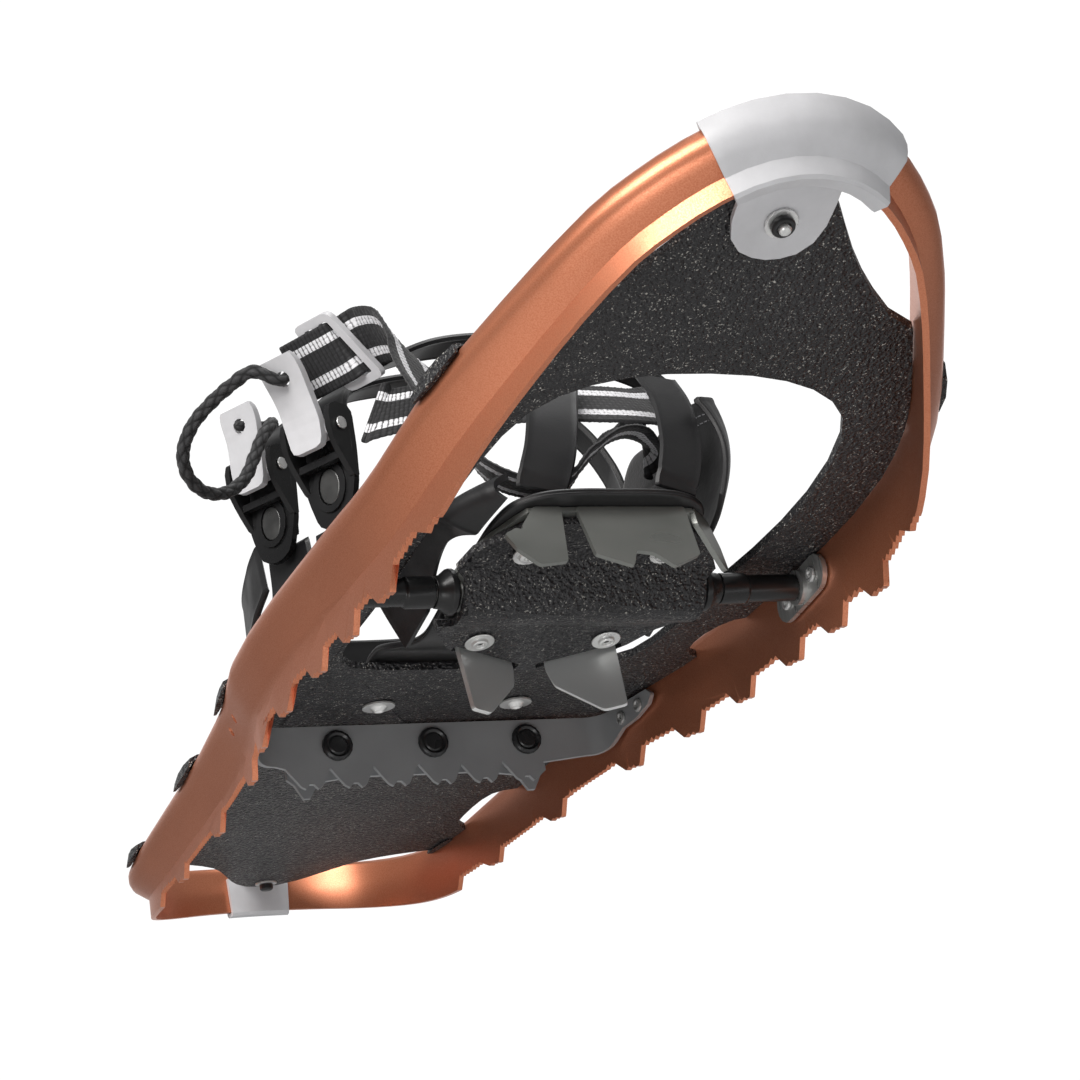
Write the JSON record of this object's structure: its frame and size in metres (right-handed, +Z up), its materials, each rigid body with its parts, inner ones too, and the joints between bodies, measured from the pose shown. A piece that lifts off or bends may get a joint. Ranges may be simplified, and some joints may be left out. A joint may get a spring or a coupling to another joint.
{
  "type": "snowshoe",
  "caption": "Snowshoe with a toothed metal frame, plastic deck, pivoting toe crampon and a strap binding closed by lever buckles.",
  "frame": {"origin": "middle of the box around the part (pull cord left out), on the plane of its lowest crampon points", "axes": "+X to the wearer's right (the buckle side), +Y along the shoe to the nose, +Z up from the snow to the boot"},
  "size_m": [0.2178, 0.6442, 0.1613],
  "materials": {
    "anodised_frame": "copper-coloured metallic anodised finish",
    "deck_plastic": "pebbled black plastic sheet",
    "grey_plastic": "smooth light warm grey moulding",
    "crampon_steel": "brushed grey-green steel",
    "crossbar_steel": "dark grey coated steel",
    "black_plastic": "satin black moulding",
    "cover_plastic": "pebbled black plastic",
    "webbing": "woven black webbing with two pale stripes",
    "cord": "round black braid",
    "padding": "soft black lining",
    "strap_rubber": "satin black flexible strap",
    "button_metal": "dull round button",
    "fastener_metal": "bright rivets and pins"
  },
  "bodies": {
    "frame": {"deck": "deck_plastic", "nose_clip": "grey_plastic", "nose_washer": "fastener_metal", "nose_nut": "black_plastic", "nose_screw": "fastener_metal", "tail_clip": "grey_plastic", "tail_washer": "fastener_metal", "tail_screw": "black_plastic", "pivot_bracket_right": "crampon_steel", "bracket_rivet_right_front": "fastener_metal", "bracket_rivet_right_rear": "fastener_metal", "axle_sleeve_right": "black_plastic", "pivot_bracket_left": "crampon_steel", "bracket_rivet_left_front": "fastener_metal", "bracket_rivet_left_rear": "fastener_metal", "axle_sleeve_left": "black_plastic", "pivot_axle": "fastener_metal", "crossbar_side_rivet_right_rear": "fastener_metal", "crossbar_side_rivet_right_front": "fastener_metal", "crossbar_side_rivet_left_rear": "fastener_metal", "crossbar_side_rivet_left_front": "fastener_metal", "heel_crossbar": "crossbar_steel", "crossbar_cap_right": "black_plastic", "crossbar_cap_centre": "black_plastic", "crossbar_cap_left": "black_plastic", "deck_rivet_right": "fastener_metal", "deck_rivet_left": "fastener_metal", "frame_rail": "anodised_frame"},
    "binding": {"toe_crampon": "crampon_steel", "crampon_cover": "cover_plastic", "cover_rivet_rear_right": "fastener_metal", "cover_rivet_rear_left": "fastener_metal", "cover_rivet_front_right": "fastener_metal", "cover_rivet_front_left": "fastener_metal", "pivot_bush_right": "black_plastic", "pivot_bush_left": "black_plastic", "foot_bed": "strap_rubber", "foot_pad": "padding", "wing_medial": "strap_rubber", "wing_lateral": "strap_rubber", "medial_pad": "padding", "toe_strap_right": "strap_rubber", "toe_strap_left": "strap_rubber", "ratchet_base_front": "black_plastic", "ratchet_pin_front": "fastener_metal", "ratchet_base_rear": "black_plastic", "ratchet_pin_rear": "fastener_metal", "instep_strap": "strap_rubber", "ankle_strap": "strap_rubber", "instep_panel": "strap_rubber", "ankle_panel": "strap_rubber", "heel_strap": "strap_rubber", "webbing_buckle": "grey_plastic", "cross_webbing": "webbing", "toe_webbing": "webbing"},
    "lever_front": {"lever_front": "grey_plastic", "pull_cord": "cord"},
    "lever_rear": {"lever_rear": "grey_plastic"},
    "release_button_front": {"release_button_front": "button_metal"},
    "release_button_rear": {"release_button_rear": "button_metal"}
  },
  "joints": [
    {"name": "binding_pivot", "type": "hinge", "parent": "frame", "child": "binding", "pos_m": [0, 0.10367, 0.03066], "axis": [1, 0, 0], "range_deg": [-40, 0]},
    {"name": "lever_front_hinge", "type": "hinge", "parent": "binding", "child": "lever_front", "pos_m": [0.0736, 0.06282, 0.10701], "axis": [-0.4983, 0.867, 0], "range_deg": [0, 45], "deforming": ["pull_cord"]},
    {"name": "lever_rear_hinge", "type": "hinge", "parent": "binding", "child": "lever_rear", "pos_m": [0.0736, -0.00802, 0.12173], "axis": [-0.4983, 0.867, 0], "range_deg": [0, 45]},
    {"name": "release_front_press", "type": "slide", "parent": "binding", "child": "release_button_front", "axis": [-0.867, -0.4983, 0], "range_m": [0, 0.001], "stiffness_N_per_m": 200},
    {"name": "release_rear_press", "type": "slide", "parent": "binding", "child": "release_button_rear", "axis": [-0.867, -0.4983, 0], "range_m": [0, 0.001], "stiffness_N_per_m": 200}
  ]
}
